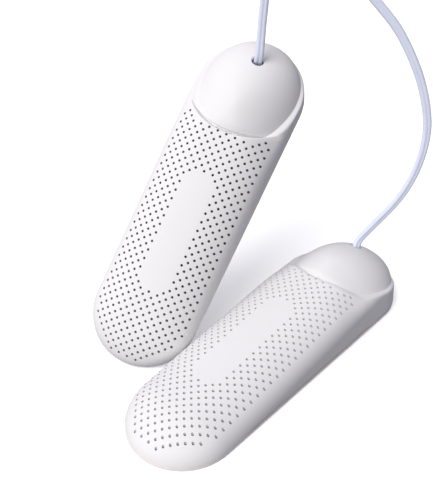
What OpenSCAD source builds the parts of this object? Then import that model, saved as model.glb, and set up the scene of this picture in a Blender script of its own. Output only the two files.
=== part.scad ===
/* [Dryer body] */
// Length of one dryer from the round tip to the end of the cap
body_l = 189; // [160:1:230]
// Width of one dryer across its side walls
body_w = 58; // [48:1:72]
// Height of the crown above the resting face, at the middle of the length
crown_h = 27.6; // [24:0.2:34]
// Slope of the crown against the resting face
wedge = 8; // [5:0.5:10]
// Thickness of the moulded walls
wall_t = 2.2; // [1.6:0.1:2.8]
// Radius of the flat middle of the crown
crown_r = 90; // [70:5:140]
// Radius that turns the crown into the side wall
shoulder_r = 14; // [10:1:16]
// Thickness of the base plate
base_t = 2.4; // [1.8:0.1:3.2]

/* [Air holes] */
// Distance between neighbouring rows and between neighbouring columns
hole_step = 2.4; // [2.2:0.1:3.2]
// Diameter of one air hole
hole_d = 1.4; // [1:0.1:1.8]
// Distance from the body's outline to the outermost hole centres
hole_margin = 4.7; // [4:0.1:8]
// Length of the blank oval in the middle of the grille
blank_l = 65.2; // [40:0.4:90]
// Width of the blank oval
blank_w = 17.3; // [12:0.1:24]

/* [Cap] */
// Distance from the cap's front edge to the end of the body
cap_l = 55.5; // [48:0.5:66]
// Radius of the cap's front edge in plan
cap_front_r = 39.4; // [36:0.2:60]
// Tilt of the ledge that the cap sits in, against the crown
ledge_tilt = 22.8; // [18:0.2:25]
// Rise of the cap's top above the crown
cap_rise = 1.4; // [0.4:0.1:3]
// Gap all round between the cap and the shell
cap_gap = 0.25; // [0.15:0.05:0.5]
// Depth of the cap's skirt below the ledge
skirt_d = 3; // [2:0.5:5]

/* [Cord] */
// Width of the flat two-core cord
cord_w = 4.6; // [4:0.1:5]
// Thickness of the flat cord
cord_t = 2.9; // [2.4:0.1:3.4]
// Depth of the strain relief's mouth below the cap's surface
relief_sunk = 1; // [0.4:0.2:1.4]
// Diameter of the cap's hole for the strain relief
relief_hole_d = 5.8; // [5.6:0.1:7]
// Mean diameter of the coil of spare lead
coil_d = 50.6; // [46:0.2:60]
// Number of turns in the coil
coil_turns = 5; // [4:1:6]

/* [Heater] */
// Length of the heating element
heater_l = 60; // [50:1:70]
// Width of the heating element
heater_w = 14; // [10:1:16]
// Thickness of the ceramic element with its contact sheets
ptc_t = 3; // [2:0.2:4]
// Height of the fins on each face of the element
fin_h = 2.4; // [1.6:0.2:3]
// Distance between fins
fin_step = 3; // [2:0.5:5]

/* [Plug] */
// Length of the plug body
plug_l = 36; // [32:1:42]
// Width of the plug body at its widest
plug_w = 26; // [24:1:32]
// Height of the plug body
plug_h = 13.7; // [12:0.1:15]
// Diameter of a plug pin
pin_d = 4; // [4:0.1:4.8]
// Length of a plug pin outside the body
pin_l = 19; // [18:0.5:20]
// Distance between the pins
pin_gap = 19; // [18:0.5:19.5]

/* [Hidden] */
$fn = 64;

plastic = [0.93, 0.925, 0.91];
cord_white = [0.9, 0.92, 0.95];
eps = 0.01;
// Reach of the blocks that cut or keep, more than any part of a dryer
reach = 300;

// The dryer's section is three tangent arcs and a straight wall
crown_a = 4.5;
shoulder_a = 40;
// Depth of the open form below the crown, past the resting face
below = 60;
half_w = body_w / 2;
flank_r = (half_w - shoulder_r - crown_r * sin(crown_a) + shoulder_r * sin(shoulder_a))
  / (sin(shoulder_a) - sin(crown_a));
flank_c = [(crown_r - flank_r) * sin(crown_a), -crown_r + (crown_r - flank_r) * cos(crown_a)];
shoulder_c = flank_c + (flank_r - shoulder_r) * [sin(shoulder_a), cos(shoulder_a)];

// Places along the crown, measured from above the middle of the resting face
tip_x = -97.6;
tip_cx = tip_x + half_w;
end_x = tip_x + body_l;
end_cx = end_x - half_w;
cap_front_x = end_x - cap_l;
cap_arc_x = cap_front_x + cap_front_r;

// The cap's dome: half axes and centre of a rounded body with unequal front and back
dome_x = end_x - 41.1;
dome_z = -25;
dome_front = 72;
dome_back = 38.6;
dome_half_w = half_w + 0.3;
dome_h = cap_rise - dome_z;
dome_e = 1.6;
dome_steps = 48;
dome_rings = 10;
seat_gap = 0.05;
ledge_x = end_x - 44.9;
ledge_z = -11.5;

// Height of the resting face and of the inner floor below the crown at x
function floor_z(x, up = 0) = -(crown_h - up + x * sin(wedge)) / cos(wedge);
function ledge_at(x) = ledge_z - (x - ledge_x) * tan(ledge_tilt);

// A point of the crown's frame in the dryer's own frame, which has its origin in the resting face
function from_crown(p) = [
  p[0] * cos(wedge) - p[2] * sin(wedge),
  p[1],
  crown_h + p[0] * sin(wedge) + p[2] * cos(wedge)
];

// The left dryer leans on its tip, held up by its cord
left_turn = [22.9, -41.9, 6.6];
left_pos = [9, 60.5, 64.45];
function turn_x(p, a) = [p[0], p[1] * cos(a) - p[2] * sin(a), p[1] * sin(a) + p[2] * cos(a)];
function turn_y(p, a) = [p[0] * cos(a) + p[2] * sin(a), p[1], -p[0] * sin(a) + p[2] * cos(a)];
function turn_z(p, a) = [p[0] * cos(a) - p[1] * sin(a), p[0] * sin(a) + p[1] * cos(a), p[2]];
function left_of(p) = left_pos + turn_z(turn_y(turn_x(p, left_turn[0]), left_turn[1]), left_turn[2]);

// The strain relief stands square to the dome on its end slope
relief_x = end_x - 16.1;
relief_dx = (relief_x - dome_x) / dome_back;
relief_z = dome_z + dome_h * pow(1 - pow(relief_dx, dome_e), 1 / dome_e);
relief_a = atan2(
  pow(relief_dx, dome_e - 1) / dome_back,
  pow((relief_z - dome_z) / dome_h, dome_e - 1) / dome_h
);
relief_at = from_crown([relief_x, 0, relief_z]);
relief_tilt = relief_a - wedge;
relief_dir = [sin(relief_tilt), 0, cos(relief_tilt)];
relief_in = 13;
exit_at = relief_at - relief_sunk * relief_dir;
tail_top = relief_at - relief_in * relief_dir;

// Inner parts
inner_gap = 0.1;
plate_inset = 0.3;
heater_x = tip_x + 76;
heater_z = -10;
frame_t = 2;
frame_z = heater_z - ptc_t / 2 - fin_h - frame_t - 0.8;
frame_l = heater_l + 12;
frame_w = heater_w + 8;
post_d = 5;
screw_d = 2.6;
screw_head_d = 5;
screw_head_t = 1.2;
screw_sink = 0.3;
screw_l = 9;
boss_d = 6;
boss_x = [tip_x + 52, cap_front_x - 4];
boss_y = half_w - wall_t - boss_d / 2 + 0.8;
boss_h = 12;
tail_end_z = 8;
post_l = 11;
clamp_z = 9;
clamp_h = 7;
clamp_t = 3;
clamp_w = 16;
clamp_screw_y = 5.4;
clamp_screw_d = 2;
clamp_screw_l = 8;
wire_d = 1.6;
fuse_d = 2.4;
fuse_l = 10;

// Cords: points chosen by hand, in order from the dryer
left_exit = left_of(exit_at);
// A route keeps its far end; a changed exit moves the points near the dryer with it
function from_exit(exit, usual, r) = concat(
  [exit],
  [for (i = [0:len(r) - 1]) r[i] + (exit - usual) * (1 - (i + 1) / len(r))]
);
left_route = from_exit(
  left_exit, [48, 53.5, 134.8],
  [[47.1, 51.6, 139.4], [47.6, 51.4, 146], [48.6, 51.2, 157], [49.5, 50.6, 168], [50.6, 49.8, 180],
   [51.6, 49, 192], [52.2, 48.6, 204]]
);
right_route = from_exit(
  exit_at, [75.2, 0, 29.4],
  [[77.4, 0, 33.9], [80, -3, 40], [84, -8, 49], [88.5, -13, 58.5], [92.2, -16.5, 67.5],
   [95, -18.8, 76.5], [96.8, -20.1, 85.2], [98, -20.6, 94], [98.5, -20.3, 102], [98.3, -19, 110], [97.3, -17.1, 118], [95.8, -14.2, 127],
   [93.6, -10.7, 135.8], [90.7, -6, 145.5], [87, -0.5, 155], [80.8, 8.4, 166.6], [74.6, 17, 177],
   [68.4, 26, 186], [63, 34.5, 193.4], [60, 39.4, 198.6], [58.4, 42.2, 204]]
);
lead_route = [
  [55.3, 45.4, 228], [55.6, 45, 239], [58, 42, 251], [63, 36, 261], [70, 27.6, 268], [78, 18, 272],
  [88, 6, 273], [94.5, -7, 270.5], [97, -20, 263.5], [97, -31, 253], [95.5, -38.5, 241], [93.4, -43.5, 228],
  [91.3, -47, 214], [89.5, -49.6, 200], [88.2, -51.4, 187], [87.4, -52.4, 174], [87, -53, 161],
  [87, -53.4, 148], [87, -53.6, 135], [87, -53.7, 122], [87, -53.8, 109], [87, -53.9, 96], [87, -54, 83],
  [87, -54, 70], [87, -54, 57], [87, -54.1, 44], [87.2, -54.3, 31], [88.6, -54.3, 19], [92.5, -53.9, 9.5],
  [98, -52.9, 4.2], [103, -52.1, 3]
];
splitter_at = [55.3, 45.4, 216];
splitter_l = 24;
splitter_w = 14;
splitter_t = 7;
across_a = -46;

// Coil, tie and plug on the same floor
coil_at = [110, -80, 0];
coil_in_r = coil_d / 2 - cord_w * 1.15;
coil_out_r = coil_d / 2 + cord_w * 1.15;
coil_h = cord_w * ceil(coil_turns / 2) * 0.72;
tie_w = 5;
tie_t = 0.8;
tie_gap = 0.3;
boot_l = 16;
boot_d = 9;
// The plug's own strain relief ends against the coil's outer turn
plug_y = coil_at[1] - coil_out_r + cord_w / 2;
plug_face_x = coil_at[0] - 12 - boot_l - plug_l;
plug_back_w = 10;
// Each pin has a thinner root that the body is moulded round
plug_socket_l = 8;
pin_root_d = pin_d * 0.8;

// Hook in the ceiling that the lead hangs over
hook_d = 5;
hook_r = 8;
hook_at = [70, 27.6, 268];
hook_shank_l = 34;
hook_tip_l = 5;
hook_plate_d = 22;
hook_plate_t = 3;
// From the lead's middle down to the hook's bar, a little over half its thickness as it crosses at a slope
hook_drop = 1.95;

// Points of an arc about c, from angle a0 to a1 as seen from straight up, in n steps
function arc(c, r, a0, a1, n) = [
  for (i = [1:n])
    let (a = a0 + (a1 - a0) * i / n) c + r * [sin(a), cos(a)]
];

// Half of the section inside the outline by t: across is x, up is y
module half_section(t) {
  polygon(concat(
    [[0, -below], [0, -t]],
    arc([0, -crown_r], crown_r - t, 0, crown_a, 1),
    arc(flank_c, flank_r - t, crown_a, shoulder_a, 4),
    arc(shoulder_c, shoulder_r - t, shoulder_a, 90, 6),
    [[half_w - t, -below]]
  ));
}

module round_end(x, a, t) {
  translate([x, 0, 0])
    rotate([0, 0, a])
      rotate_extrude(angle = 180, $fn = 120)
        half_section(t);
}

// The dryer's full outer form inset by t, in the crown's frame and open below
module body_form(t) {
  round_end(tip_cx, 90, t);
  round_end(end_cx, -90, t);
  translate([tip_cx, 0, 0])
    rotate([90, 0, 90])
      linear_extrude(end_cx - tip_cx) {
        half_section(t);
        mirror([1, 0])
          half_section(t);
      }
}

module on_crown() {
  translate([0, 0, crown_h])
    rotate([0, -wedge, 0])
      children();
}

module above(z, h = reach) {
  translate([-reach / 2, -reach / 2, z])
    cube([reach, reach, h]);
}

// Everything that the cap takes out of the shell, in the crown's frame
module cap_opening() {
  intersection() {
    translate([cap_arc_x, 0, -below])
      cylinder(r = cap_front_r, h = 2 * below, $fn = 180);
    translate([ledge_x, 0, ledge_z])
      rotate([0, ledge_tilt, 0])
        above(0);
  }
}

// A hole is kept clear of the outline, of the blank oval and of the cap's front edge
function in_tip(x, y) = x > tip_cx || norm([x - tip_cx, y]) < half_w - hole_margin;
function in_blank(x, y) = norm([max(0, abs(x - heater_x) - (blank_l - blank_w) / 2), y]) < blank_w / 2;
function before_cap(x, y) = x < cap_front_x - 2 + 7.1 * pow(abs(y) / (half_w - hole_margin), 3);

module air_holes() {
  cols = floor((half_w - hole_margin) / hole_step);
  first = ceil(tip_x / hole_step);
  last = floor((cap_front_x + 8) / hole_step);
  for (i = [first:last])
    for (j = [-cols:cols])
      if ((i + j) % 2 != 0) {
        x = i * hole_step;
        y = j * hole_step;
        if (in_tip(x, y) && !in_blank(x, y) && before_cap(x, y))
          translate([x, y, -15])
            cylinder(d = hole_d, h = 17, $fn = 14);
      }
}

module shell_bosses() {
  for (x = boss_x)
    for (s = [-1, 1])
      translate([x, s * boss_y, 0])
        cylinder(d = boss_d, h = base_t + boss_h, $fn = 32);
}

module shell() {
  color(plastic)
    difference() {
      intersection() {
        on_crown()
          body_form(0);
        above(base_t);
      }
      difference() {
        on_crown()
          body_form(wall_t);
        shell_bosses();
      }
      on_crown() {
        cap_opening();
        air_holes();
      }
      for (x = boss_x)
        for (s = [-1, 1])
          translate([x, s * boss_y, 0])
            cylinder(d = screw_d + inner_gap, h = screw_l + 1, $fn = 24);
    }
}

// A point of the dome at a bearing and a height angle, inset by t
function dome_n(a) = cos(a) > 0 ? 2.2 : 2.4;
function dome_reach(a, t) = let (
    n = dome_n(a),
    l = (cos(a) > 0 ? dome_back : dome_front) - t
  ) pow(pow(abs(cos(a)) / l, n) + pow(abs(sin(a)) / (dome_half_w - t), n), -1 / n);
function dome_point(a, h, t) = let (
    k = pow(pow(cos(h), dome_e) + pow(abs(sin(h)), dome_e), -1 / dome_e),
    r = dome_reach(a, t) * cos(h) * k
  ) [dome_x + r * cos(a), r * sin(a), dome_z + (dome_h - t) * sin(h) * k];

// The cap sits on the ledge where it is as wide as the wall, and its skirt goes below the ledge elsewhere
function inner_w(z) = shoulder_c[0] + sqrt(pow(shoulder_r - wall_t, 2) - pow(max(0, z - shoulder_c[1]), 2));
function in_wall(p) = norm([max(0, p[0] - end_cx), p[1]]) < inner_w(p[2]) - cap_gap;
function behind_front(p, t) = norm([p[0] - cap_arc_x, p[1]]) < cap_front_r - cap_gap - t;
function in_cap(p) = behind_front(p, 0)
  && (p[2] > ledge_at(p[0]) + seat_gap || (p[2] > ledge_at(p[0]) - skirt_d && in_wall(p)));
// The lowest height angle at a bearing that still lies in the cap, by halving; the inside ends level with the outside
function dome_foot(a, t, rim, hi = 90, lo = -30, n = 22) = n == 0 ? hi
  : let (
      m = (hi + lo) / 2,
      p = dome_point(a, m, t),
      holds = t == 0 ? in_cap(p) : p[2] > rim && behind_front(p, t)
    ) dome_foot(a, t, rim, holds ? m : hi, holds ? lo : m, n - 1);
function dome_ring(j, t) = [
  for (i = [0:dome_steps - 1])
    let (
      a = 360 * i / dome_steps,
      outside = dome_foot(a, 0, 0),
      f = t == 0 ? outside : dome_foot(a, t, dome_point(a, outside, 0)[2])
    ) dome_point(a, 90 - (90 - f) * j / dome_rings, t)
];

module cap_form() {
  n = dome_steps;
  m = dome_rings;
  outer = [for (j = [1:m]) each dome_ring(j, 0)];
  inner = [for (j = [1:m]) each dome_ring(j, wall_t)];
  top = 2 * m * n;
  points = concat(outer, inner, [dome_point(0, 90, 0), dome_point(0, 90, wall_t)]);
  faces = concat(
    [for (i = [0:n - 1]) [top, (i + 1) % n, i]],
    [for (j = [0:m - 2]) for (i = [0:n - 1]) let (k = (i + 1) % n)
      each [[j * n + i, j * n + k, (j + 1) * n + k], [j * n + i, (j + 1) * n + k, (j + 1) * n + i]]],
    [for (i = [0:n - 1]) let (k = (i + 1) % n, o = (m - 1) * n, q = (2 * m - 1) * n)
      each [[o + i, o + k, q + k], [o + i, q + k, q + i]]],
    [for (j = [0:m - 2]) for (i = [0:n - 1]) let (k = (i + 1) % n, q = m * n)
      each [[q + j * n + i, q + (j + 1) * n + k, q + j * n + k],
            [q + j * n + i, q + (j + 1) * n + i, q + (j + 1) * n + k]]],
    [for (i = [0:n - 1]) [top + 1, m * n + i, m * n + (i + 1) % n]]
  );
  polyhedron(points, faces, convexity = 4);
}

module along_relief() {
  translate(relief_at)
    rotate([0, relief_tilt, 0])
      children();
}

module cap() {
  color(plastic)
    difference() {
      on_crown()
        cap_form();
      along_relief()
        translate([0, 0, -8])
          cylinder(d = relief_hole_d, h = 16, $fn = 40);
    }
}

// Plate inside the shell's rim, with the post that the cord is clamped to
module base_plate() {
  color(plastic)
    difference() {
      intersection() {
        on_crown()
          body_form(plate_inset);
        union() {
          above(0, base_t);
          translate([tail_top[0] - cord_w / 2 - post_l, -clamp_w / 2, base_t / 2])
            cube([post_l, clamp_w, clamp_z + clamp_h - base_t / 2]);
        }
      }
      for (x = boss_x)
        for (s = [-1, 1])
          translate([x, s * boss_y, 0]) {
            translate([0, 0, -1])
              cylinder(d = screw_d + 2 * inner_gap, h = base_t + 2, $fn = 24);
            translate([0, 0, -1])
              cylinder(d = screw_head_d + 2 * inner_gap, h = 1 + screw_sink + screw_head_t, $fn = 32);
          }
      for (s = [-1, 1])
        translate([tail_top[0] - cord_w / 2 - 8, s * clamp_screw_y, clamp_z + clamp_h / 2])
          rotate([0, 90, 0])
            cylinder(d = clamp_screw_d + inner_gap, h = 10, $fn = 24);
    }
}

module base_screws() {
  color("silver")
    for (x = boss_x)
      for (s = [-1, 1])
        translate([x, s * boss_y, screw_sink]) {
          cylinder(d = screw_head_d, h = screw_head_t, $fn = 32);
          cylinder(d = screw_d, h = screw_l, $fn = 24);
        }
}

// Sleeve moulded on the cord, with a collar inside the cap's wall and its mouth just below the cap's surface
module strain_relief() {
  collar_z = -wall_t - 3.6;
  color(cord_white)
    along_relief() {
      translate([0, 0, collar_z])
        cylinder(d = relief_hole_d - 0.2, h = -collar_z - relief_sunk, $fn = 40);
      translate([0, 0, collar_z])
        cylinder(d = relief_hole_d + 3.2, h = 2, $fn = 40);
      translate([0, 0, -relief_in])
        cylinder(d1 = cord_w + 0.6, d2 = relief_hole_d - 0.2, h = relief_in + collar_z, $fn = 40);
    }
}

// Cord from the strain relief's inner end down to its own end, both ends flat against what they meet
module cord_tail() {
  color(cord_white)
    difference() {
      translate([tail_top[0], 0, tail_end_z])
        cylinder(d = cord_w, h = tail_top[2] - tail_end_z + cord_w, $fn = 32);
      along_relief()
        above(-relief_in);
    }
}

module cord_clamp() {
  color("ivory")
    difference() {
      translate([tail_top[0] + cord_w / 2, -clamp_w / 2, clamp_z])
        cube([clamp_t, clamp_w, clamp_h]);
      for (s = [-1, 1])
        translate([tail_top[0] + cord_w / 2 - 1, s * clamp_screw_y, clamp_z + clamp_h / 2])
          rotate([0, 90, 0])
            cylinder(d = clamp_screw_d + 2 * inner_gap, h = clamp_t + 2, $fn = 24);
    }
}

module clamp_screws() {
  color("silver")
    for (s = [-1, 1])
      translate([tail_top[0] + cord_w / 2 + clamp_t, s * clamp_screw_y, clamp_z + clamp_h / 2])
        rotate([0, -90, 0]) {
          translate([0, 0, -1])
            cylinder(d = 4, h = 1, $fn = 32);
          cylinder(d = clamp_screw_d, h = clamp_screw_l + cord_w, $fn = 24);
        }
}

module at_heater(z) {
  on_crown()
    translate([heater_x, 0, z])
      children();
}

module block(l, w, h) {
  translate([-l / 2, -w / 2, 0])
    cube([l, w, h]);
}

// Heat-resistant tray on four legs, with a rim that keeps the element in place
module heater_frame() {
  color([0.75, 0.7, 0.58])
    intersection() {
      at_heater(frame_z)
        difference() {
          union() {
            block(frame_l, frame_w, frame_t + 3);
            for (sx = [-1, 1])
              for (sy = [-1, 1])
                translate([sx * (frame_l - post_d) / 2, sy * (frame_w - post_d) / 2, -20])
                  cylinder(d = post_d, h = 20 + eps, $fn = 32);
          }
          translate([0, 0, frame_t])
            block(frame_l - 3, frame_w - 3, 4);
          translate([0, 0, -1])
            block(heater_l - 10, heater_w - 4, frame_t + 2);
        }
      above(base_t);
    }
}

module ptc_element() {
  color([0.3, 0.3, 0.31])
    at_heater(heater_z - ptc_t / 2) {
      block(heater_l, heater_w, ptc_t);
      for (s = [-1, 1])
        translate([heater_l / 2 + 3 - eps, s * 3.5, ptc_t / 2 - 0.4])
          block(6, 3, 0.8);
    }
}

// Sheet with upright fins, drawn fins up
module fins() {
  n = floor((heater_l - 4) / (2 * fin_step));
  block(heater_l, heater_w, 0.8);
  for (i = [-n:n])
    translate([i * fin_step, 0, 0.8 - eps])
      block(0.5, heater_w, fin_h + eps);
}

module upper_fins() {
  color([0.8, 0.81, 0.83])
    at_heater(heater_z + ptc_t / 2)
      fins();
}

module lower_fins() {
  color([0.8, 0.81, 0.83])
    at_heater(heater_z - ptc_t / 2)
      rotate([180, 0, 0])
        fins();
}

// Round thermal fuse on the tray beside the element
module thermal_cutout() {
  color([0.85, 0.72, 0.4])
    at_heater(frame_z + frame_t)
      translate([heater_l / 2 - 14, heater_w / 2 + fuse_d / 2 + 0.05, fuse_d / 2 + 0.05])
        rotate([0, 90, 0]) {
          cylinder(d = fuse_d, h = fuse_l, $fn = 32);
          translate([0, 0, fuse_l - inner_gap])
            cylinder(d = 0.9, h = 6, $fn = 24);
        }
}

// Two insulated cores from the end of the cord to the element's tabs
module supply_wires() {
  tab = from_crown([heater_x + heater_l / 2 + 6, 3.5, heater_z]);
  side_y = clamp_w / 2 + 2.5;
  for (s = [-1, 1])
    swept([
      [tab[0] + 0.1, s * tab[1], tab[2]],
      [tab[0] + 5, s * 4, tab[2] - 0.4],
      [tab[0] + 14, s * 6.5, tab[2] - 3],
      [tail_top[0] - 24, s * (side_y - 1), 10],
      [tail_top[0] - 14, s * side_y, 6.6],
      [tail_top[0] - 4, s * side_y, 5.2],
      [tail_top[0] + 1, s * (side_y - 1), 4.8],
      [tail_top[0] + 3, s * 6, 4.6],
      [tail_top[0] + 2.2, s * 3, 4.7],
      [tail_top[0] + 0.6, s * 1.4, 5.4],
      [tail_top[0], s * 1.1, 6.6],
      [tail_top[0], s * 1.1, tail_end_z]
    ], [1, 0, 0], [0.1, 0, 1], wire_d, wire_d, 8, [0.55, 0.3, 0.2]);
}

// A smooth route through hand-chosen points, and its direction at each ring
function unit(v) = v / norm(v);
function heading(r, i) = unit(r[min(i + 1, len(r) - 1)] - r[max(i - 1, 0)]);
function ring(p, t, side, w, h, n) = let (
    u = unit(cross(t, side)),
    v = cross(t, u)
  ) [for (k = [0:n - 1]) p + u * (w / 2) * cos(360 * k / n) + v * (h / 2) * sin(360 * k / n)];

// One closed tube of oval section; start and side set the first heading and the flat side
module swept(route, start, side, w, h, n, shade) {
  m = len(route);
  rings = [for (i = [0:m - 1]) each ring(route[i], i == 0 ? start : heading(route, i), side, w, h, n)];
  faces = concat(
    [[for (k = [0:n - 1]) k]],
    [for (i = [0:m - 2]) for (k = [0:n - 1]) let (l = (k + 1) % n)
      each [[i * n + k, (i + 1) * n + k, (i + 1) * n + l], [i * n + k, (i + 1) * n + l, i * n + l]]],
    [[for (k = [n - 1:-1:0]) (m - 1) * n + k]]
  );
  color(shade)
    polyhedron(rings, faces, convexity = 6);
}

module cord_tube(route, start, side) {
  swept(route, start, side, cord_w, cord_t, 10, cord_white);
}

module left_cord() {
  cord_tube(left_route, unit(left_of(exit_at) - left_of(relief_at)), [0.6, 0.6, 0]);
}

module right_cord() {
  cord_tube(right_route, relief_dir, [0.6, 0.7, 0.1]);
}

// The lead lies flat over the hook, so its thin side is in the plane that it bends in
module mains_lead() {
  swept(lead_route, [0, 0, 1], [0.76, 0.65, 0], cord_t, cord_w, 10, cord_white);
}

// Moulded piece that joins the two cords to the lead
module y_splitter() {
  color(cord_white)
    translate(splitter_at)
      rotate([0, 0, across_a]) {
        rotate([90, 0, 0])
          linear_extrude(splitter_t, center = true)
            hull() {
              translate([0, splitter_l / 2 - 3])
                square([cord_w + 2, 6], center = true);
              for (s = [-1, 1])
                translate([s * (splitter_w / 2 - 3), -splitter_l / 2 + 3])
                  circle(r = 3, $fn = 32);
            }
      }
}

module lead_coil() {
  color(cord_white)
    translate(coil_at)
      rotate_extrude($fn = 120)
        translate([coil_in_r, 0])
          square([coil_out_r - coil_in_r, coil_h]);
}

// Strap over all the turns, with both ends on the floor
module coil_tie() {
  inside = coil_out_r - coil_in_r + tie_gap;
  color([0.2, 0.2, 0.21])
    translate([coil_at[0] + coil_in_r - tie_gap, coil_at[1], 0])
      difference() {
        translate([-tie_t, -tie_w / 2, 0])
          cube([inside + 2 * tie_t, tie_w, coil_h + tie_t]);
        translate([0, -tie_w, -1])
          cube([inside, 2 * tie_w, coil_h + 1]);
      }
}

module plug_body() {
  color(plastic)
    translate([plug_face_x, plug_y, 0])
      difference() {
        linear_extrude(plug_h)
          hull() {
            translate([0, -plug_w / 2])
              square([plug_l / 3, plug_w]);
            translate([plug_l - 1, -plug_back_w / 2])
              square([1, plug_back_w]);
          }
        for (s = [-1, 1])
          translate([-1, s * pin_gap / 2, plug_h / 2])
            rotate([0, 90, 0])
              cylinder(d = pin_root_d + inner_gap, h = 1 + plug_socket_l + inner_gap, $fn = 32);
      }
}

module plug_pins() {
  color("silver")
    for (s = [-1, 1])
      translate([plug_face_x - pin_l, plug_y + s * pin_gap / 2, plug_h / 2])
        rotate([0, 90, 0]) {
          cylinder(d = pin_d, h = pin_l, $fn = 32);
          translate([0, 0, pin_l - 1])
            cylinder(d = pin_root_d, h = 1 + plug_socket_l, $fn = 32);
        }
}

module plug_strain_relief() {
  color(cord_white)
    translate([plug_face_x + plug_l, plug_y, plug_h / 2])
      rotate([0, 90, 0])
        cylinder(d1 = boot_d, d2 = cord_w + 1, h = boot_l, $fn = 40);
}

module ceiling_hook() {
  color("silver")
    translate(hook_at + [0, 0, hook_r - hook_d / 2 - hook_drop])
      rotate([0, 0, across_a + 90]) {
        rotate([90, 180, 0])
          rotate_extrude(angle = 180, $fn = 64)
            translate([hook_r, 0])
              circle(d = hook_d, $fn = 32);
        translate([hook_r, 0, -eps])
          cylinder(d = hook_d, h = hook_shank_l, $fn = 32);
        translate([-hook_r, 0, -eps])
          cylinder(d = hook_d, h = hook_tip_l, $fn = 32);
        translate([hook_r, 0, hook_shank_l - 1])
          cylinder(d = hook_plate_d, h = hook_plate_t, $fn = 48);
      }
}

module as_left() {
  translate(left_pos)
    rotate(left_turn)
      children();
}

as_left() shell();  // left_shell
as_left() cap();  // left_cap
as_left() base_plate();  // left_base_plate
as_left() strain_relief();  // left_strain_relief
as_left() cord_clamp();  // left_cord_clamp
as_left() clamp_screws();  // left_clamp_screws
as_left() cord_tail();  // left_cord_tail
as_left() heater_frame();  // left_heater_frame
as_left() ptc_element();  // left_ptc_element
as_left() upper_fins();  // left_upper_fins
as_left() lower_fins();  // left_lower_fins
as_left() thermal_cutout();  // left_thermal_cutout
as_left() supply_wires();  // left_supply_wires
as_left() base_screws();  // left_base_screws
shell();  // right_shell
cap();  // right_cap
base_plate();  // right_base_plate
strain_relief();  // right_strain_relief
cord_clamp();  // right_cord_clamp
clamp_screws();  // right_clamp_screws
cord_tail();  // right_cord_tail
heater_frame();  // right_heater_frame
ptc_element();  // right_ptc_element
upper_fins();  // right_upper_fins
lower_fins();  // right_lower_fins
thermal_cutout();  // right_thermal_cutout
supply_wires();  // right_supply_wires
base_screws();  // right_base_screws
left_cord();
right_cord();
y_splitter();
mains_lead();
lead_coil();
coil_tie();
plug_body();
plug_strain_relief();
plug_pins();
ceiling_hook();
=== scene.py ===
import math

import bmesh
import bpy
import numpy as np
from mathutils import Matrix, Vector
from mathutils.bvhtree import BVHTree


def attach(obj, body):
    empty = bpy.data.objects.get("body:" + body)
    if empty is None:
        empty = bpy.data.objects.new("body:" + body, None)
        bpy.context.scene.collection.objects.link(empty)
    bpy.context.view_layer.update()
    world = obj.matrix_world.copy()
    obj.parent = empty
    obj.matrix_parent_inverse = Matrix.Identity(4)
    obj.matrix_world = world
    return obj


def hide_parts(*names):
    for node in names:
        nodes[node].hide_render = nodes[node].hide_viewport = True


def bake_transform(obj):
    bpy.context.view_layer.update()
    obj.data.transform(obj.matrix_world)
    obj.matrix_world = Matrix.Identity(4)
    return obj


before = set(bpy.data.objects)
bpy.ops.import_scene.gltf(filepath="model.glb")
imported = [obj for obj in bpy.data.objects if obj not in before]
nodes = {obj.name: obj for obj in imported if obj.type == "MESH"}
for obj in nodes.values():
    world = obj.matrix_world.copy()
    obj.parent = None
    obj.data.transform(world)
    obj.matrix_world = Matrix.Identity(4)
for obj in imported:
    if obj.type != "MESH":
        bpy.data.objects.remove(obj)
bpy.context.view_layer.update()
scene = bpy.context.scene

# Camera.
# It stands in front and to the left of the pair, 36 cm from the origin, and looks down by 34 degrees.
# Its lens is a normal one for its sensor, without shift.
camera_at = Vector((-0.2052, -0.1638, 0.2463))
camera = bpy.data.objects.new("camera", bpy.data.cameras.new("camera"))
camera.data.lens = 47.56
camera.data.sensor_width = 36
camera.data.clip_start = 0.01
look = Vector((0.5874, 0.5824, -0.562)).normalized()
upward = Vector((0.4191, 0.3752, 0.8268))
sideways = look.cross(upward).normalized()
upward = sideways.cross(look)
camera.matrix_world = Matrix.Translation(camera_at) @ Matrix((sideways, upward, -look)).transposed().to_4x4()
scene.collection.objects.link(camera)
scene.camera = camera

# Flat two-core cords.
# Two stranded cores lie side by side in soft white PVC, 4.6 by 2.9 mm, with a shallow groove between them.
# One cord rises from each dryer to the splitter. The lead goes on over the hook and down to its coil on the
# floor.
MM = 0.001
cord_w, cord_t = 4.6, 2.9


def smooth_route(points, step=1.6):
    """A Catmull-Rom line through the points, in mm, with a point every step."""
    p = np.array(points, float)
    p = np.vstack([2 * p[0] - p[1], p, 2 * p[-1] - p[-2]])
    fine = []
    for a, b, c, d in zip(p, p[1:], p[2:], p[3:]):
        for u in np.linspace(0, 1, 12, endpoint=False):
            fine.append(0.5 * (2 * b + (c - a) * u + (2 * a - 5 * b + 4 * c - d) * u**2
                               + (3 * b - a - 3 * c + d) * u**3))
    fine = np.array(fine + [p[-2]])
    along = np.concatenate([[0], np.cumsum(np.linalg.norm(np.diff(fine, axis=0), axis=1))])
    at = np.linspace(0, along[-1], max(2, round(along[-1] / step) + 1))
    return np.array([np.interp(at, along, fine[:, k]) for k in range(3)]).T


def headings(path):
    """The direction of a line at each of its points."""
    t = np.gradient(path, axis=0)
    return t / np.linalg.norm(t, axis=1)[:, None]


def twin_section(n=15):
    """The outline of two cores side by side: along the width, and across it."""
    r = cord_t / 2
    offset = cord_w / 2 - r
    reach = math.acos(-offset / r) * 0.97
    right = [(offset + r * math.cos(a), r * math.sin(a)) for a in np.linspace(-reach, reach, n)]
    return right + [(-x, -y) for x, y in right]


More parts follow.
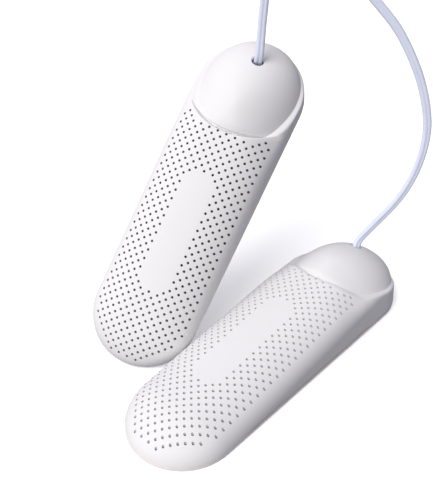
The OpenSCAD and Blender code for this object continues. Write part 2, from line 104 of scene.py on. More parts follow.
def loft(rings, m):
    """The faces that join a row of rings of m points each, with both ends closed."""
    faces = [(i * m + k, i * m + (k + 1) % m, (i + 1) * m + (k + 1) % m, (i + 1) * m + k)
             for i in range(rings - 1) for k in range(m)]
    return faces + [tuple(range(m))[::-1], tuple((rings - 1) * m + k for k in range(m))]


def new_mesh(name, verts, faces):
    """A mesh from its points and faces."""
    mesh = bpy.data.meshes.new(name)
    mesh.from_pydata([tuple(v) for v in verts], [], faces)
    return mesh


def put(name, mesh):
    """An object in the scene with the given mesh."""
    obj = bpy.data.objects.new(name, mesh)
    scene.collection.objects.link(obj)
    return obj


def tube(name, path, wide, section=None):
    """A closed tube along a line in mm, with its width along the given directions."""
    t = headings(path)
    wide = wide - (wide * t).sum(1)[:, None] * t
    wide /= np.linalg.norm(wide, axis=1)[:, None]
    thin = np.cross(t, wide)
    section = section or twin_section()
    verts = [(p + w * x + h * y) * MM for p, w, h in zip(path, wide, thin) for x, y in section]
    mesh = new_mesh(name, verts, loft(len(path), len(section)))
    mesh.shade_smooth()
    return put(name, mesh)


def linear(code):
    """An sRGB hex colour as linear numbers."""
    parts = [int(code[i:i + 2], 16) / 255 for i in (1, 3, 5)]
    return tuple(c / 12.92 if c <= 0.04045 else ((c + 0.055) / 1.055) ** 2.4 for c in parts) + (1.0,)


def add(material, kind, links=(), **settings):
    """Adds a node to a material, with its settings and its input links."""
    node = material.node_tree.nodes.new(kind)
    for key, value in settings.items():
        if key.startswith("in_"):
            node.inputs[key[3:].replace("_", " ")].default_value = value
        else:
            setattr(node, key, value)
    for source, output, target in links:
        material.node_tree.links.new(source.outputs[output], node.inputs[target])
    return node


def wire(material, source, output, node, target):
    """Links one node's output to another's input."""
    material.node_tree.links.new(source.outputs[output], node.inputs[target])


def start_material(name):
    """A new material, with its surface shader and its object coordinates."""
    material = bpy.data.materials.new(name)
    material.use_nodes = True
    material.node_tree.nodes.clear()
    out = add(material, "ShaderNodeOutputMaterial")
    shader = add(material, "ShaderNodeBsdfPrincipled")
    wire(material, shader, "BSDF", out, "Surface")
    return material, shader, add(material, "ShaderNodeTexCoord")


def tinted(material, shader, where, patch_mm, low, high):
    """Base colour that drifts between two near shades over patches of the given size."""
    noise = add(material, "ShaderNodeTexNoise", [(where, "Object", "Vector")],
                in_Scale=1 / (patch_mm * MM), in_Detail=3.0)
    mix = add(material, "ShaderNodeMix", [(noise, "Fac", "Factor")], data_type="RGBA")
    mix.inputs[6].default_value = linear(low)
    mix.inputs[7].default_value = linear(high)
    wire(material, mix, 2, shader, "Base Color")


def grained(material, shader, where, grain_mm, depth_mm, detail=4.0):
    """A bump with grains of the given size and depth."""
    noise = add(material, "ShaderNodeTexNoise", [(where, "Object", "Vector")],
                in_Scale=1 / (grain_mm * MM), in_Detail=detail)
    bump = add(material, "ShaderNodeBump", [(noise, "Fac", "Height")],
               in_Strength=1.0, in_Distance=depth_mm * MM)
    wire(material, bump, "Normal", shader, "Normal")


# Soft PVC: extruded, so it is smooth along its length, with a silky sheen and a slight blue in its white
pvc, shader, where = start_material("white_pvc")
shader.inputs["Roughness"].default_value = 0.38
shader.inputs["IOR"].default_value = 1.53
shader.inputs["Subsurface Weight"].default_value = 0.06
shader.inputs["Subsurface Radius"].default_value = (0.0012, 0.0010, 0.0010)
shader.inputs["Subsurface Scale"].default_value = 1.0
tinted(pvc, shader, where, 16.667, "#D9E0F2", "#E1E7F6")
grained(pvc, shader, where, 1.111, 0.012, 2.0)

left_exit = (47.96, 53.49, 134.84)
left_route = smooth_route([
    left_exit, (47.1, 51.6, 139.4), (47.6, 51.4, 146), (48.6, 51.2, 157), (49.5, 50.6, 168),
    (50.6, 49.8, 180), (51.6, 49, 192), (52.2, 48.6, 205)])
right_exit = (75.22, 0, 29.4)
right_route = smooth_route([
    right_exit, (77.4, 0, 33.9), (80, -3, 40), (84, -8, 49), (88.5, -13, 58.5), (92.2, -16.5, 67.5),
    (95, -18.8, 76.5), (96.8, -20.1, 85.2), (98, -20.6, 94), (98.5, -20.3, 102), (98.3, -19, 110),
    (97.3, -17.1, 118), (95.8, -14.2, 127), (93.6, -10.7, 135.8), (90.7, -6, 145.5), (87, -0.5, 155),
    (80.8, 8.4, 166.6), (74.6, 17, 177), (68.4, 26, 186), (63, 34.5, 193.4), (60, 39.4, 198.6),
    (58.4, 42.2, 205)])

# The lead's coil: 2.3 turns on the floor from the outside in, then 2.2 turns above them from the inside out
coil_x, coil_y = 110, -80
turns_low, turns_up, points_in_turn = 2.3, 2.2278, 36
outer_low, outer_up, inner_r = 28.7, 28.3, 21.7
low_z, up_z = 2.35, 7.0
coil = []
for i in range(1, math.ceil((turns_low + turns_up) * points_in_turn)):
    turn = i / points_in_turn
    angle = math.radians(100 - 360 * turn)
    climb = min(1, max(0, (turn - turns_low + 0.1) / 0.2))
    climb = climb * climb * (3 - 2 * climb)
    if turn < turns_low:
        radius = outer_low - (outer_low - inner_r) * turn / turns_low
    else:
        radius = inner_r + (outer_up - inner_r) * (turn - turns_low) / turns_up
    height = low_z + (up_z - low_z) * climb
    coil.append((coil_x + radius * math.cos(angle), coil_y + radius * math.sin(angle), height))
lead_start, touchdown = (55.3, 45.4, 227), (98, -52.9, 4.4)
lead_points = [
    lead_start, (55.6, 45, 239), (58, 42, 251), (63, 36, 261), (70, 27.6, 268), (78, 18, 272),
    (88, 6, 273), (94.5, -7, 270.5), (97, -20, 263.5), (97, -31, 253), (95.5, -38.5, 241),
    (93.4, -43.5, 228), (91.3, -47, 214), (89.5, -49.6, 200), (88.2, -51.4, 187), (87.4, -52.4, 174),
    (87, -53, 161), (87, -53.4, 148), (87, -53.6, 135), (87, -53.7, 122), (87, -53.8, 109),
    (87, -53.9, 96), (87, -54, 83), (87, -54, 70), (87, -54, 57), (87, -54.1, 44), (87.2, -54.3, 31),
    (88.6, -54.3, 19), (92.5, -53.9, 9.5), touchdown, (103, -52.1, 2.6)]
lead_route = smooth_route(lead_points + coil + [(104, -108.3, 7), (97.5, -108.3, 6.9)])


def flat_to(path, thin):
    """Width directions of a cord whose flat side faces along thin."""
    return np.cross(headings(path), np.array(thin, float))


left_cord = tube("left_cord_sheath", left_route, flat_to(left_route, (0.6, 0.6, 0)))
right_cord = tube("right_cord_sheath", right_route, flat_to(right_route, (0.6, 0.7, 0.1)))
# The lead lies flat on the hook, turns a little as it falls, and stands on its edge in the coil
lead_along = np.concatenate([[0], np.cumsum(np.linalg.norm(np.diff(lead_route, axis=0), axis=1))])
past_hook, hook_z, fall_reach = 80, 270, 200
falls = (np.clip((hook_z - lead_route[:, 2]) / fall_reach, 0, 1) * (lead_along > past_hook))[:, None]
coil_start = lead_along[np.argmin(np.linalg.norm(lead_route - np.array(touchdown), axis=1))]
stands = np.clip((lead_along - coil_start) / 30, 0, 1)[:, None]
on_hook, in_fall, on_edge = (0.76, 0.65, 0), (0, 1, 0), (0, 0, 1)
lead_wide = (1 - falls) * np.array(on_hook) + falls * np.array(in_fall)
lead_wide = lead_wide * (1 - stands) + stands * np.array(on_edge)
main_lead = tube("mains_lead_sheath", lead_route, lead_wide)


for piece, node in ((right_cord, "right_cord"), (left_cord, "left_cord"), (main_lead, "mains_lead")):
    piece.data.materials.append(pvc)
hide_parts("right_cord")
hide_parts("left_cord")
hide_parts("mains_lead", "lead_coil")
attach(right_cord, "root")
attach(main_lead, "root")
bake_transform(left_cord)

# Strain reliefs.
# A soft PVC sleeve is moulded round each cord inside the cap, with a collar that takes the pull.
# Its mouth lies 2.4 mm below the cap's surface.
relief_at, relief_tilt = (75.661, 0, 30.294), 26.333


def shifted(x, y, z):
    """A move in mm."""
    return Matrix.Translation((x * MM, y * MM, z * MM))


def turned(degrees, axis):
    """A turn about an axis."""
    return Matrix.Rotation(math.radians(degrees), 4, axis)


# The right dryer lies as it is drawn; the left one is the same dryer, turned and hung beside it
unit_to_left = shifted(9, 60.5, 64.45) @ turned(6.6, "Z") @ turned(-41.9, "Y") @ turned(22.9, "X")
sides = (("right", "root", Matrix.Identity(4)), ("left", "left_dryer", unit_to_left))


def lathe(name, profile, steps=48):
    """A turned piece about Z from (radius, height) pairs in mm."""
    m = len(profile)
    verts = [(r * math.cos(a) * MM, r * math.sin(a) * MM, z * MM)
             for a in np.linspace(0, 2 * math.pi, steps, endpoint=False) for r, z in profile]
    faces = [(i * m + k, ((i + 1) % steps) * m + k, ((i + 1) % steps) * m + k + 1, i * m + k + 1)
             for i in range(steps) for k in range(m - 1)]
    mesh = new_mesh(name, verts, faces)
    edit = bmesh.new()
    edit.from_mesh(mesh)
    bmesh.ops.remove_doubles(edit, verts=edit.verts, dist=1e-6)
    bmesh.ops.holes_fill(edit, edges=[e for e in edit.edges if e.is_boundary])
    bmesh.ops.recalc_face_normals(edit, faces=edit.faces)
    edit.to_mesh(mesh)
    edit.free()
    mesh.shade_smooth()
    return put(name, mesh)


def moved(obj, matrix):
    """Puts a move into the mesh, so that the object stays at the origin."""
    obj.data.transform(matrix)
    obj.data.update()
    return obj


at_relief = shifted(*relief_at) @ turned(relief_tilt, "Y")
relief_profile = [
    (0, -13), (2.4, -13), (2.6, -12.7), (2.8, -5.9), (4.3, -5.8), (4.5, -5.6), (4.5, -4.0), (4.3, -3.8),
    (2.8, -3.7), (2.8, -2.6), (2.7, -2.45), (2.4, -2.4), (0, -2.4)]
for side, body, place in sides:
    sleeve = lathe(f"{side}_relief_sleeve", relief_profile)
    moved(sleeve, place @ at_relief)
    sleeve.data.materials.append(pvc)
    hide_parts(f"{side}_strain_relief")
    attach(sleeve, body)

# Perforated shells.
# Each shell is injection moulded in white ABS, 2.2 mm thick and open below. The tool's pins leave the air
# holes square to the crown, and a sloping seat is moulded at the thick end for the cap.
half_w, wall, base_t = 29.0, 2.2, 2.4
crown_r, flank_r, shoulder_r = 90.0, 30.01, 14.0
flank_c, shoulder_c = (4.707, -30.2), (15.0, -17.93)
tip_cx, end_cx, arc_x, arc_r = -68.6, 62.4, 75.3, 39.4
seat_x, seat_z, seat_slope = 46.5, -11.5, math.tan(math.radians(22.8))
valley_depth, valley_half = 0.5, 1.7
shoulder_drop = 2.4
crown_z, wedge_angle = 27.6, 8
on_crown = shifted(0, 0, crown_z) @ turned(-wedge_angle, "Y")


def seat_height(x, y, steep=4.0):
    """Height of the cap's seat, and of the steep rise from it to the crown outside the front arc."""
    outside = np.maximum(0, np.hypot(x - arc_x, y) - arc_r)
    return seat_z - (x - seat_x) * seat_slope + steep * outside


def valley(x, y):
    """Depth of the soft dip on both sides of the front arc."""
    off_arc = np.hypot(x - arc_x, y) - arc_r
    return valley_depth * np.exp(-(off_arc / valley_half) ** 2) * (x < arc_x)


def eased(t):
    """A soft rise from 0 to 1."""
    t = np.clip(t, 0, 1)
    return t * t * (3 - 2 * t)


def side_fall(x, y, z):
    """How far the shoulders sink below the plain section towards the cap."""
    towards_cap = eased((x - 20) / 26)
    off_middle = eased((np.abs(y) - 10) / 16)
    above_wall = np.clip((z - shoulder_c[1]) / 10, 0, 1)
    return shoulder_drop * towards_cap * off_middle * above_wall


def section_line(inset):
    """The section as (distance from the middle plane, height), from the wall's top to the crown's middle."""
    def arc(c, r, a0, a1, n):
        a = np.radians(np.linspace(a0, a1, n))
        return np.stack([c[0] + r * np.sin(a), c[1] + r * np.cos(a)], 1)
    return np.vstack([
        arc(shoulder_c, shoulder_r - inset, 90, 40, 90),
        arc(flank_c, flank_r - inset, 40, 4.5, 80)[1:],
        arc((0, -crown_r), crown_r - inset, 4.5, 0, 30)[1:]])


def even(line, step):
    """The line with points at equal steps."""
    along = np.concatenate([[0], np.cumsum(np.linalg.norm(np.diff(line, axis=0), axis=1))])
    at = np.linspace(0, along[-1], max(4, round(along[-1] / step) + 1))
    return np.array([np.interp(at, along, line[:, k]) for k in range(line.shape[1])]).T


def rounded(line, reach, step=0.2):
    """The line with its corners rounded over about reach, ends kept."""
    line = even(line, step)
    n = max(1, round(reach / step))
    for _ in range(2):
        before = 2 * line[0] - line[1:n + 1][::-1]
        after = 2 * line[-1] - line[-n - 1:-1][::-1]
        padded = np.vstack([before, line, after])
        kernel = np.ones(2 * n + 1) / (2 * n + 1)
        line = np.array([np.convolve(padded[:, k], kernel, "valid") for k in range(line.shape[1])]).T
    return line


def spread(line, count, turn_weight=6.0):
    """The line with a fixed count of points, closer together where it bends."""
    step = np.diff(line, axis=0)
    size = np.linalg.norm(step, axis=1)
    unit = step / np.maximum(size, 1e-9)[:, None]
    bend = np.concatenate([[0], np.arccos(np.clip((unit[1:] * unit[:-1]).sum(1), -1, 1))])
    along = np.concatenate([[0], np.cumsum(size + turn_weight * bend)])
    at = np.linspace(0, along[-1], count)
    return np.array([np.interp(at, along, line[:, k]) for k in range(line.shape[1])]).T


def floor_height(x, up):
    """Height of a plane parallel to the resting face, in the crown's frame."""
    wedge = math.radians(wedge_angle)
    return -(crown_z - up + x * math.sin(wedge)) / math.cos(wedge)


# The columns stand close together where the front arc crosses them at a slant
stations = np.concatenate([
    np.arange(tip_cx, 32, 2.5), np.arange(32, 48, 0.4), np.arange(48, end_cx - 0.5, 1.2)])


def fan(x, first, last, count=60):
    """Columns that turn round an end."""
    bearings = np.radians(np.linspace(first, last, count, endpoint=False))
    return [(x, (math.cos(a), math.sin(a))) for a in bearings]


rows = 44
columns = [(x, (0, 1)) for x in stations] + fan(end_cx, 90, -90)
columns += [(x, (0, -1)) for x in np.concatenate([[end_cx], stations[:0:-1]])] + fan(tip_cx, -90, -270)


def skin(inset, sink):
    """One skin of the shell: a line of points for each column, from its foot up to the crown's middle."""
    lines = []
    section = section_line(inset)
    wall_points, below = 160, -40
    for x0, (dx, dy) in columns:
        r = np.concatenate([[half_w - inset] * wall_points, section[:, 0]])
        straight = np.linspace(below, section[0, 1], wall_points, endpoint=False)
        z = np.concatenate([straight, section[:, 1]])
        line = np.stack([x0 + dx * r, dy * r, z], 1)
        over = z - floor_height(line[:, 0], base_t)
        first = int(np.argmax(over > 0))
        share = over[first] / (over[first] - over[first - 1])
        line = np.vstack([line[first] + share * (line[first - 1] - line[first]), line[first:]])
        line[:, 2] -= valley(line[:, 0], line[:, 1]) + side_fall(*line.T)
        line[:, 2] = np.minimum(line[:, 2], seat_height(line[:, 0], line[:, 1]) - sink)
        near_cap = min(1, max(0, (x0 + 8 * dx - 44) / 6))
        lines.append(spread(rounded(line, 0.3 + 0.9 * near_cap), rows))
    return lines


def shell_base():
    """Both skins of the shell as one closed mesh, in mm in the crown's frame."""
    n = len(columns)
    verts = [p for line in skin(0, 0) + skin(wall, wall * 1.2) for p in line]
    inner = n * rows
    faces = []
    for i in range(n):
        here, after = i * rows, (i + 1) % n * rows
        for k in range(rows - 1):
            faces.append((here + k, here + k + 1, after + k + 1, after + k))
            faces.append((inner + here + k, inner + after + k, inner + after + k + 1, inner + here + k + 1))
        faces.append((here, after, inner + after, inner + here))
    mesh = new_mesh("shell_skins", verts, faces)
    edit = bmesh.new()
    edit.from_mesh(mesh)
    bmesh.ops.remove_doubles(edit, verts=edit.verts, dist=1e-3)
    bmesh.ops.dissolve_degenerate(edit, edges=edit.edges, dist=1e-4)
    bmesh.ops.triangulate(edit, faces=edit.faces)
    bmesh.ops.recalc_face_normals(edit, faces=edit.faces)
    edit.to_mesh(mesh)
    edit.free()
    return mesh


def hole_places():
    """The grille: staggered rows, kept off the outline, off the blank oval and off the cap."""
    step, reach = 2.4, half_w - 4.7
    blank_x, blank_half, blank_r = -21.6, 23.95, 8.65
    last_x, bow = 33.9, 7.1
    found = []
    for i in range(math.ceil((tip_cx - half_w) / step), math.floor((last_x + bow) / step) + 1):
        for j in range(-10, 11):
            x, y = i * step, j * step
            in_tip = x > tip_cx or math.hypot(x - tip_cx, y) < reach
            in_blank = math.hypot(max(0, abs(x - blank_x) - blank_half), y) < blank_r
            before_cap = x < last_x + bow * (abs(y) / reach) ** 3
            if (i + j) % 2 and in_tip and not in_blank and before_cap:
                found.append((x, y))
    return found


def pins(places, radius, steps=16):
    """Round pins through the crown, one for each hole, in one mesh."""
    verts, faces = [], []
    pin_from, pin_to = -16, 3
    for x, y in places:
        first = len(verts)
        for z in (pin_from, pin_to):
            verts += [(x + radius * math.cos(a), y + radius * math.sin(a), z)
                      for a in np.linspace(0, 2 * math.pi, steps, endpoint=False)]
        faces += [tuple(first + k for k in face) for face in loft(2, steps)]
    return new_mesh("hole_pins", verts, faces)


def cut(body_mesh, tool_mesh):
    """The first mesh less the second."""
    body = put("cut_body", body_mesh)
    tool = put("cut_tool", tool_mesh)
    step = body.modifiers.new("cut", "BOOLEAN")
    step.operation = "DIFFERENCE"
    step.solver = "MANIFOLD"
    step.object = tool
    result = bpy.data.meshes.new_from_object(body.evaluated_get(bpy.context.evaluated_depsgraph_get()))
    for used in (body, tool):
        bpy.data.objects.remove(used)
    return result


def follow_form(mesh, form, near=0.02):
    """Smooth normals from the uncut form on all faces that lie on it, and plain ones in the cuts."""
    points = [v.co.copy() for v in form.vertices]
    tree = BVHTree.FromPolygons(points, [tuple(p.vertices) for p in form.polygons])
    normals = [v.normal.copy() for v in form.vertices]
    out = []
    mesh.shade_smooth()
    for face in mesh.polygons:
        _, normal, _, gap = tree.find_nearest(face.center)
        on_form = gap is not None and gap < near and normal.dot(face.normal) > 0.95
        for k in face.vertices:
            if not on_form:
                out.append(face.normal.copy())
                continue
            spot, _, index, _ = tree.find_nearest(mesh.vertices[k].co)
            a, b, c = form.polygons[index].vertices
            pa, pb, pc = points[a], points[b], points[c]
            area = (pb - pa).cross(pc - pa).length
            wa = (pb - spot).cross(pc - spot).length / area if area > 1e-9 else 1
            wb = (pc - spot).cross(pa - spot).length / area if area > 1e-9 else 0
            blend = normals[a] * wa + normals[b] * wb + normals[c] * max(0, 1 - wa - wb)
            out.append(blend.normalized() if blend.length > 1e-6 and blend.dot(face.normal) > 0.7
                       else face.normal.copy())
    mesh.normals_split_custom_set(out)


hole_r = 0.7
form = shell_base()
holed = cut(form.copy(), pins(hole_places(), hole_r))
follow_form(holed, form)

# White ABS from a spark-eroded tool: a fine satin grain, and a warm white that is slightly translucent
abs_white, shader, where = start_material("white_abs_satin")
shader.inputs["Roughness"].default_value = 0.42
shader.inputs["IOR"].default_value = 1.54
shader.inputs["Subsurface Weight"].default_value = 0.08
shader.inputs["Subsurface Radius"].default_value = (0.0016, 0.0013, 0.0011)
shader.inputs["Subsurface Scale"].default_value = 1.0
tinted(abs_white, shader, where, 45.455, "#D6D2D2", "#DAD7D6")
# The real grain is about 0.1 mm; it is drawn 0.5 mm wide, because finer grain doesn't show
grained(abs_white, shader, where, 0.5, 0.004, 3.0)

for side, body, place in sides:
    shell = put(f"{side}_shell_moulding", holed.copy())
    moved(shell, place @ on_crown @ Matrix.Scale(MM, 4))
    shell.data.materials.append(abs_white)
    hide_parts(f"{side}_shell")
    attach(shell, body)

# Caps.
# The domed cap is a second ABS moulding, pressed into the seat. Its edge follows the front arc with a fine
# groove, and it leaves a ledge of the shell showing round the thick end. The cord's hole is through its back
# slope.
dome_x, dome_z, dome_h, dome_e = 50.3, -25.0, 26.4, 1.6
dome_half_w, back_l, back_e, front_l, front_e = 29.3, 40.2, 2.2, 72.0, 2.4
cap_t, arc_gap, foot_sink, groove_depth = 1.6, 0.35, 0.8, 1.1


def dome_line(bearing):
    """One line of the cap's surface, from its top to its foot in the seat."""
    ca, sa = math.cos(bearing), math.sin(bearing)
    length, n = (back_l, back_e) if ca > 0 else (front_l, front_e)
    reach = ((abs(ca) / length) ** n + (abs(sa) / dome_half_w) ** n) ** (-1 / n)
    h = np.radians(np.linspace(90, -20, 1200))
    c, s = np.cos(h), np.sin(h)
    k = (np.abs(c) ** dome_e + np.abs(s) ** dome_e) ** (-1 / dome_e)
    r = reach * c * k
    line = np.stack([dome_x + r * ca, r * sa, dome_z + dome_h * s * k], 1)
    beyond = np.hypot(line[:, 0] - arc_x, line[:, 1]) > arc_r - arc_gap
    low = line[:, 2] < seat_height(line[:, 0], line[:, 1]) - foot_sink
    stop = np.argmax(beyond | low) if (beyond | low).any() else len(line) - 1
    at_arc = bool(beyond[stop])
    line = line[:stop + 1]
    line[:, 2] -= valley(line[:, 0], line[:, 1])
    along = np.concatenate([[0], np.cumsum(np.linalg.norm(np.diff(line, axis=0), axis=1))])
    at = along[-1] * (1 - (1 - np.linspace(0, 1, 36)) ** 1.3)
    line = np.array([np.interp(at, along, line[:, k]) for k in range(3)]).T
    # The edge turns down into the groove, and a short flange runs on into the shell's step
    edge = line[-1]
    above_foot = edge[2] - (seat_height(edge[0], edge[1]) - foot_sink)
    drop = min(groove_depth, max(0.05, above_foot)) if at_arc else 0.05
    outward = np.array((edge[0] - arc_x, edge[1], 0)) / math.hypot(edge[0] - arc_x, edge[1]) * at_arc
    return np.vstack([
        line,
        edge + outward * 0.06 - (0, 0, 0.04),
        edge + outward * 0.08 - (0, 0, drop),
        edge + outward * 1.4 - (0, 0, drop + 0.1)])


dome_columns = 144
lines = [dome_line(a) for a in np.linspace(0, 2 * math.pi, dome_columns, endpoint=False)]
dome_rows = len(lines[0])
faces = []
for i in range(dome_columns):
    here, after = i * dome_rows, (i + 1) % dome_columns * dome_rows
    faces += [(here + k, here + k + 1, after + k + 1, after + k) for k in range(dome_rows - 1)]
dome = new_mesh("dome", [p for line in lines for p in line], faces)
edit = bmesh.new()
edit.from_mesh(dome)
bmesh.ops.remove_doubles(edit, verts=edit.verts, dist=1e-3)
bmesh.ops.dissolve_degenerate(edit, edges=edit.edges, dist=1e-4)
bmesh.ops.recalc_face_normals(edit, faces=edit.faces)
bmesh.ops.solidify(edit, geom=edit.faces, thickness=cap_t)
bmesh.ops.recalc_face_normals(edit, faces=edit.faces)
bmesh.ops.triangulate(edit, faces=edit.faces)
edit.to_mesh(dome)
edit.free()
# The hole for the cord has a softened mouth
hole = lathe("cap_hole", [
    (0, -9), (3.1, -9), (3.1, -0.3), (3.2, -0.1), (3.5, 0.12), (4.0, 0.5), (4.5, 9), (0, 9)])
moved(hole, on_crown.inverted() @ at_relief)
moved(hole, Matrix.Scale(1 / MM, 4))
hole_mesh = hole.data.copy()
bpy.data.objects.remove(hole)
cap_mesh = cut(dome.copy(), hole_mesh)
follow_form(cap_mesh, dome, 0.03)
for side, body, place in sides:
    cap = put(f"{side}_cap_moulding", cap_mesh.copy())
    moved(cap, place @ on_crown @ Matrix.Scale(MM, 4))
    cap.data.materials.append(abs_white)
    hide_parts(f"{side}_cap")
    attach(cap, body)

# Base plates and the pieces inside.
# The plate is the same ABS as the shell, a little duller. In the shell are a glass-filled tray, the ceramic
# heating element between aluminium fins, a fuse, wires, and a nylon bar that clamps the cord.


def dress(node, material):
    """Gives a CAD node its material."""
    nodes[node].data.materials.clear()
    nodes[node].data.materials.append(material)


# White ABS from a plain tool: duller than the shell, and slightly warmer
abs_plate, shader, where = start_material("white_abs_plate")
shader.inputs["Roughness"].default_value = 0.5
shader.inputs["IOR"].default_value = 1.54
tinted(abs_plate, shader, where, 33.333, "#E6E2DE", "#ECE9E6")
grained(abs_plate, shader, where, 0.4, 0.006)

# Zinc plating over steel: bright, with fine cloudy variation
zinc, shader, where = start_material("zinc_plated_steel")
shader.inputs["Metallic"].default_value = 1.0
shader.inputs["Roughness"].default_value = 0.34
tinted(zinc, shader, where, 3.333, "#B9BBBD", "#CFD0D0")
grained(zinc, shader, where, 0.333, 0.003)

# Heat-resistant PBT: a dull sandy moulding with glass fibre in it
pbt, shader, where = start_material("glass_filled_pbt")
shader.inputs["Roughness"].default_value = 0.6
tinted(pbt, shader, where, 2.5, "#C9BFA6", "#D6CDB6")
grained(pbt, shader, where, 0.25, 0.01)

# Sintered barium titanate between its contact sheets: dark, dry and slightly speckled
ceramic, shader, where = start_material("ptc_ceramic")
shader.inputs["Roughness"].default_value = 0.75
tinted(ceramic, shader, where, 0.667, "#3A3A3D", "#55555A")
grained(ceramic, shader, where, 0.2, 0.01)

# Mill-finish aluminium: bright, with a faint unevenness from rolling
mill, shader, where = start_material("mill_aluminium")
shader.inputs["Metallic"].default_value = 1.0
shader.inputs["Roughness"].default_value = 0.36
tinted(mill, shader, where, 1.429, "#D4D6DA", "#E4E6E9")
grained(mill, shader, where, 0.286, 0.004)

# Drawn brass, bright from its tool
brass, shader, where = start_material("drawn_brass")
shader.inputs["Metallic"].default_value = 1.0
shader.inputs["Roughness"].default_value = 0.25
tinted(brass, shader, where, 2, "#D9BC76", "#E6CB88")
grained(brass, shader, where, 0.333, 0.003)

# Silicone sleeve on the wires: brick brown, matt and slightly dusty
silicone, shader, where = start_material("brown_silicone")
shader.inputs["Roughness"].default_value = 0.55
tinted(silicone, shader, where, 1.667, "#7E4630", "#8E553D")
grained(silicone, shader, where, 0.333, 0.006)

# Unfilled nylon: milky, waxy, a little translucent
nylon, shader, where = start_material("natural_nylon")
shader.inputs["Roughness"].default_value = 0.45
shader.inputs["Subsurface Weight"].default_value = 0.1
shader.inputs["Subsurface Scale"].default_value = 0.002
tinted(nylon, shader, where, 5, "#DAD3BE", "#E4DECB")
grained(nylon, shader, where, 0.5, 0.004)

for side, body, place in sides:
    for node, material in (
            ("base_plate", abs_plate), ("base_screws", zinc), ("clamp_screws", zinc), ("heater_frame", pbt),
            ("ptc_element", ceramic), ("upper_fins", mill), ("lower_fins", mill), ("thermal_cutout", brass),
            ("supply_wires", silicone), ("cord_clamp", nylon), ("cord_tail", pvc)):
        dress(f"{side}_{node}", material)

# Splitter.
# A PVC block is moulded over the joint of the two cords and the lead. It narrows upwards, with a shallow
# waist and soft edges.
splitter_z, splitter_half, splitter_t = 216, 12, 7.0
narrow, widening = 3.4, 3.6


def squared_oval(a, b, soft_a, soft_b, n=40):
    """An oval of half sizes a and b, the flatter on its sides the lower the soft values are."""
    ring = []
    for k in range(n):
        t = 2 * math.pi * k / n
        c, s = math.cos(t), math.sin(t)
        ring.append((a * math.copysign(abs(c) ** soft_a, c), b * math.copysign(abs(s) ** soft_b, s)))
    return ring


verts = []
block_rings = np.linspace(-1, 1, 25)
for v in block_rings:
    wide = narrow + widening * (1 - v) / 2 * (1 - 0.25 * (1 - v * v))
    end = (1 - abs(v) ** 8) ** 0.25 if abs(v) < 1 else 0.02
    ring = squared_oval(wide * (0.8 + 0.2 * end), splitter_t / 2 * (0.72 + 0.28 * end), 0.55, 0.55)
    verts += [(x, y, splitter_z + splitter_half * v) for x, y in ring]
mesh = new_mesh("splitter", verts, loft(len(block_rings), len(ring)))
splitter = put("splitter_moulding", mesh)
moved(splitter, shifted(lead_start[0], lead_start[1], 0) @ turned(-46, "Z") @ Matrix.Scale(MM, 4))
soft = splitter.modifiers.new("soft edges", "BEVEL")
soft.width, soft.segments, soft.limit_method = 0.0006, 3, "ANGLE"
mesh.shade_smooth()
splitter.data.materials.append(pvc)
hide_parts("y_splitter")
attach(splitter, "root")

# Plug, its strain relief and the coil's tie.
# The flat two-pin plug is one ABS moulding that lies on the floor, with a tapered, ribbed PVC sleeve on the
# lead. The tie is a soft rubber strap over both layers of the coil.
plug_x, plug_y, plug_l, plug_half_t = 46, -108.29, 36, 6.85
plug_outline = [(0, 13), (4, 13), (8, 13), (12, 13), (16, 12.2), (20, 10.6), (24, 8.8), (28, 7.2),
                (32, 5.9), (plug_l, 5)]
edge_r = 0.8
plug_rings = smooth_route([(x, w, 0) for x, w in plug_outline], 1.2)
verts = []
for x, w, _ in plug_rings:
    # Both ends are drawn in a little, for their rounded edges
    pull = min(1, (x + 0.4) / 1.6) ** 0.35 * min(1, (plug_l + 0.4 - x) / 1.2) ** 0.35
    drawn_in = edge_r * (1 - pull)
    ring = squared_oval(w - drawn_in, plug_half_t - drawn_in, 0.42, 0.62)
    verts += [((plug_x + x) * MM, (plug_y + y) * MM, (plug_half_t + z) * MM) for y, z in ring]
mesh = new_mesh("plug", verts, loft(len(plug_rings), len(ring)))
plug = put("plug_moulding", mesh)
soft = plug.modifiers.new("soft edges", "BEVEL")
soft.width, soft.segments, soft.limit_method = 0.0008, 3, "ANGLE"
mesh.shade_smooth()
plug.data.materials.append(abs_white)
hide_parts("plug_body")
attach(plug, "root")

sleeve_r, rib_count, rib_step, rib_taper = 4.45, 6, 2.2, 0.28
profile = [(0, 0), (4.3, 0), (sleeve_r, 0.2)]
for i in range(rib_count):
    base = 1.2 + rib_step * i
    r = sleeve_r - rib_taper * i
    profile += [(r, base), (r - 0.55, base + 0.25), (r - 0.6, base + 0.85), (r - 0.12, base + 1.1)]
profile += [(2.8, 15.2), (2.65, 15.8), (2.3, 16), (0, 16)]
sleeve = lathe("plug_relief_sleeve", profile)
moved(sleeve, shifted(plug_x + plug_l, plug_y, plug_half_t) @ turned(90, "Y"))
sleeve.data.materials.append(pvc)
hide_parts("plug_strain_relief")
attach(sleeve, "root")

# Nickel plating on the brass pins: bright and slightly warm
nickel, shader, where = start_material("nickel_plated_pins")
shader.inputs["Metallic"].default_value = 1.0
shader.inputs["Roughness"].default_value = 0.22
tinted(nickel, shader, where, 3.333, "#C9C5BC", "#D9D6CE")
grained(nickel, shader, where, 0.4, 0.002)
dress("plug_pins", nickel)

inner_x, outer_x, tie_top, tie_foot, tie_bend = 129.3, 141.0, 10.34, 0.2, 1.4
tie_half_w, tie_half_t = 2.5, 0.38


def tie_corner(x, first, last):
    """A rounded upper corner of the strap, as (x, height) pairs."""
    return [(x + tie_bend * math.cos(a), tie_top - tie_bend + tie_bend * math.sin(a))
            for a in np.radians(np.linspace(first, last, 8))]


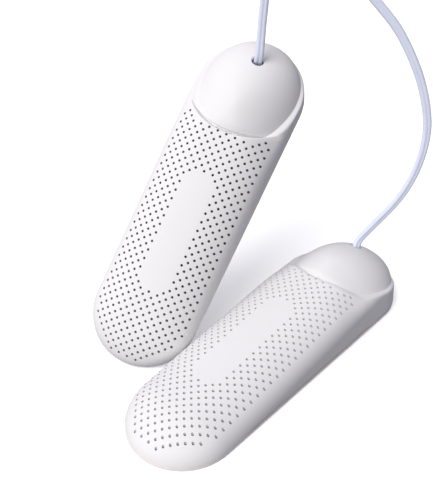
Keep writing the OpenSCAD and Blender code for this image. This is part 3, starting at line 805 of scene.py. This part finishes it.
leg = [tie_foot + (tie_top - tie_bend - tie_foot) * t for t in np.linspace(0, 1, 9)]
tie_line = [(inner_x, z) for z in leg] + tie_corner(inner_x + tie_bend, 180, 90)[1:]
tie_line += tie_corner(outer_x - tie_bend, 90, 0) + [(outer_x, z) for z in leg[:-1][::-1]]
tie_path = np.array([(x, coil_y, z) for x, z in tie_line])
strap = squared_oval(tie_half_w, tie_half_t, 0.4, 0.7, 24)
tie = tube("tie_strap", tie_path, np.tile((0.0, 1.0, 0.0), (len(tie_path), 1)), strap)
# Soft rubber: dark, matt, faintly dusty
rubber, shader, where = start_material("soft_rubber")
shader.inputs["Roughness"].default_value = 0.7
tinted(rubber, shader, where, 2.5, "#2E2E30", "#3A3A3C")
grained(rubber, shader, where, 0.4, 0.01)
tie.data.materials.append(rubber)
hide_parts("coil_tie")
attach(tie, "root")

# Ceiling hook.
# It is bent from zinc plated steel bar, with a round plate at its top, and the lead hangs over it.
dress("ceiling_hook", zinc)

# Floor, light and background.
# White paper lies under the pair. A large soft key light stands at the left, a weaker one above, and pale
# light comes from all round. The paper throws no light up onto the walls, and a light of its own keeps it
# white.
floor_half, floor_z = 4, -0.0003
floor = put("floor", new_mesh("floor", [
    (-floor_half, -floor_half, floor_z), (floor_half, -floor_half, floor_z),
    (floor_half, floor_half, floor_z), (-floor_half, floor_half, floor_z)], [(0, 1, 2, 3)]))
# Uncoated paper: matt and even
paper, shader, where = start_material("white_paper_sweep")
shader.inputs["Roughness"].default_value = 0.9
shader.inputs["Specular IOR Level"].default_value = 0.1
tinted(paper, shader, where, 333.333, "#FDFDFE", "#FFFFFF")
floor.data.materials.append(paper)
floor.visible_diffuse = False

world = bpy.data.worlds.new("studio")
world.use_nodes = True
world.node_tree.nodes["Background"].inputs["Color"].default_value = linear("#EBE9F6")
world.node_tree.nodes["Background"].inputs["Strength"].default_value = 0.3
scene.world = world


def sun(name, towards, spread, strength, colour):
    """A soft, even light from a direction, the softer the wider its spread in degrees."""
    light = bpy.data.lights.new(name, "SUN")
    light.angle = math.radians(spread)
    light.energy = strength * math.pi
    light.color = linear(colour)[:3]
    obj = bpy.data.objects.new(name, light)
    obj.rotation_euler = Vector(towards).to_track_quat("Z", "Y").to_euler()
    scene.collection.objects.link(obj)
    return obj


sun("key_light", (-0.74, -0.03, 0.67), 45, 0.88, "#FFFCFA")
sun("top_light", (0.1, 0.35, 0.95), 90, 0.2, "#F4F4FF")
# This light reaches the paper alone, and nothing shades it there
under = sun("under_light", (0, 0, 1), 90, 0.45, "#FFFFFF")
under.light_linking.receiver_collection = bpy.data.collections.new("sweep_only")
under.light_linking.receiver_collection.objects.link(floor)
under.light_linking.blocker_collection = bpy.data.collections.new("no_blockers")
under.light_linking.blocker_collection.objects.link(floor)
scene.view_settings.view_transform = "Standard"
scene.view_settings.look = "None"
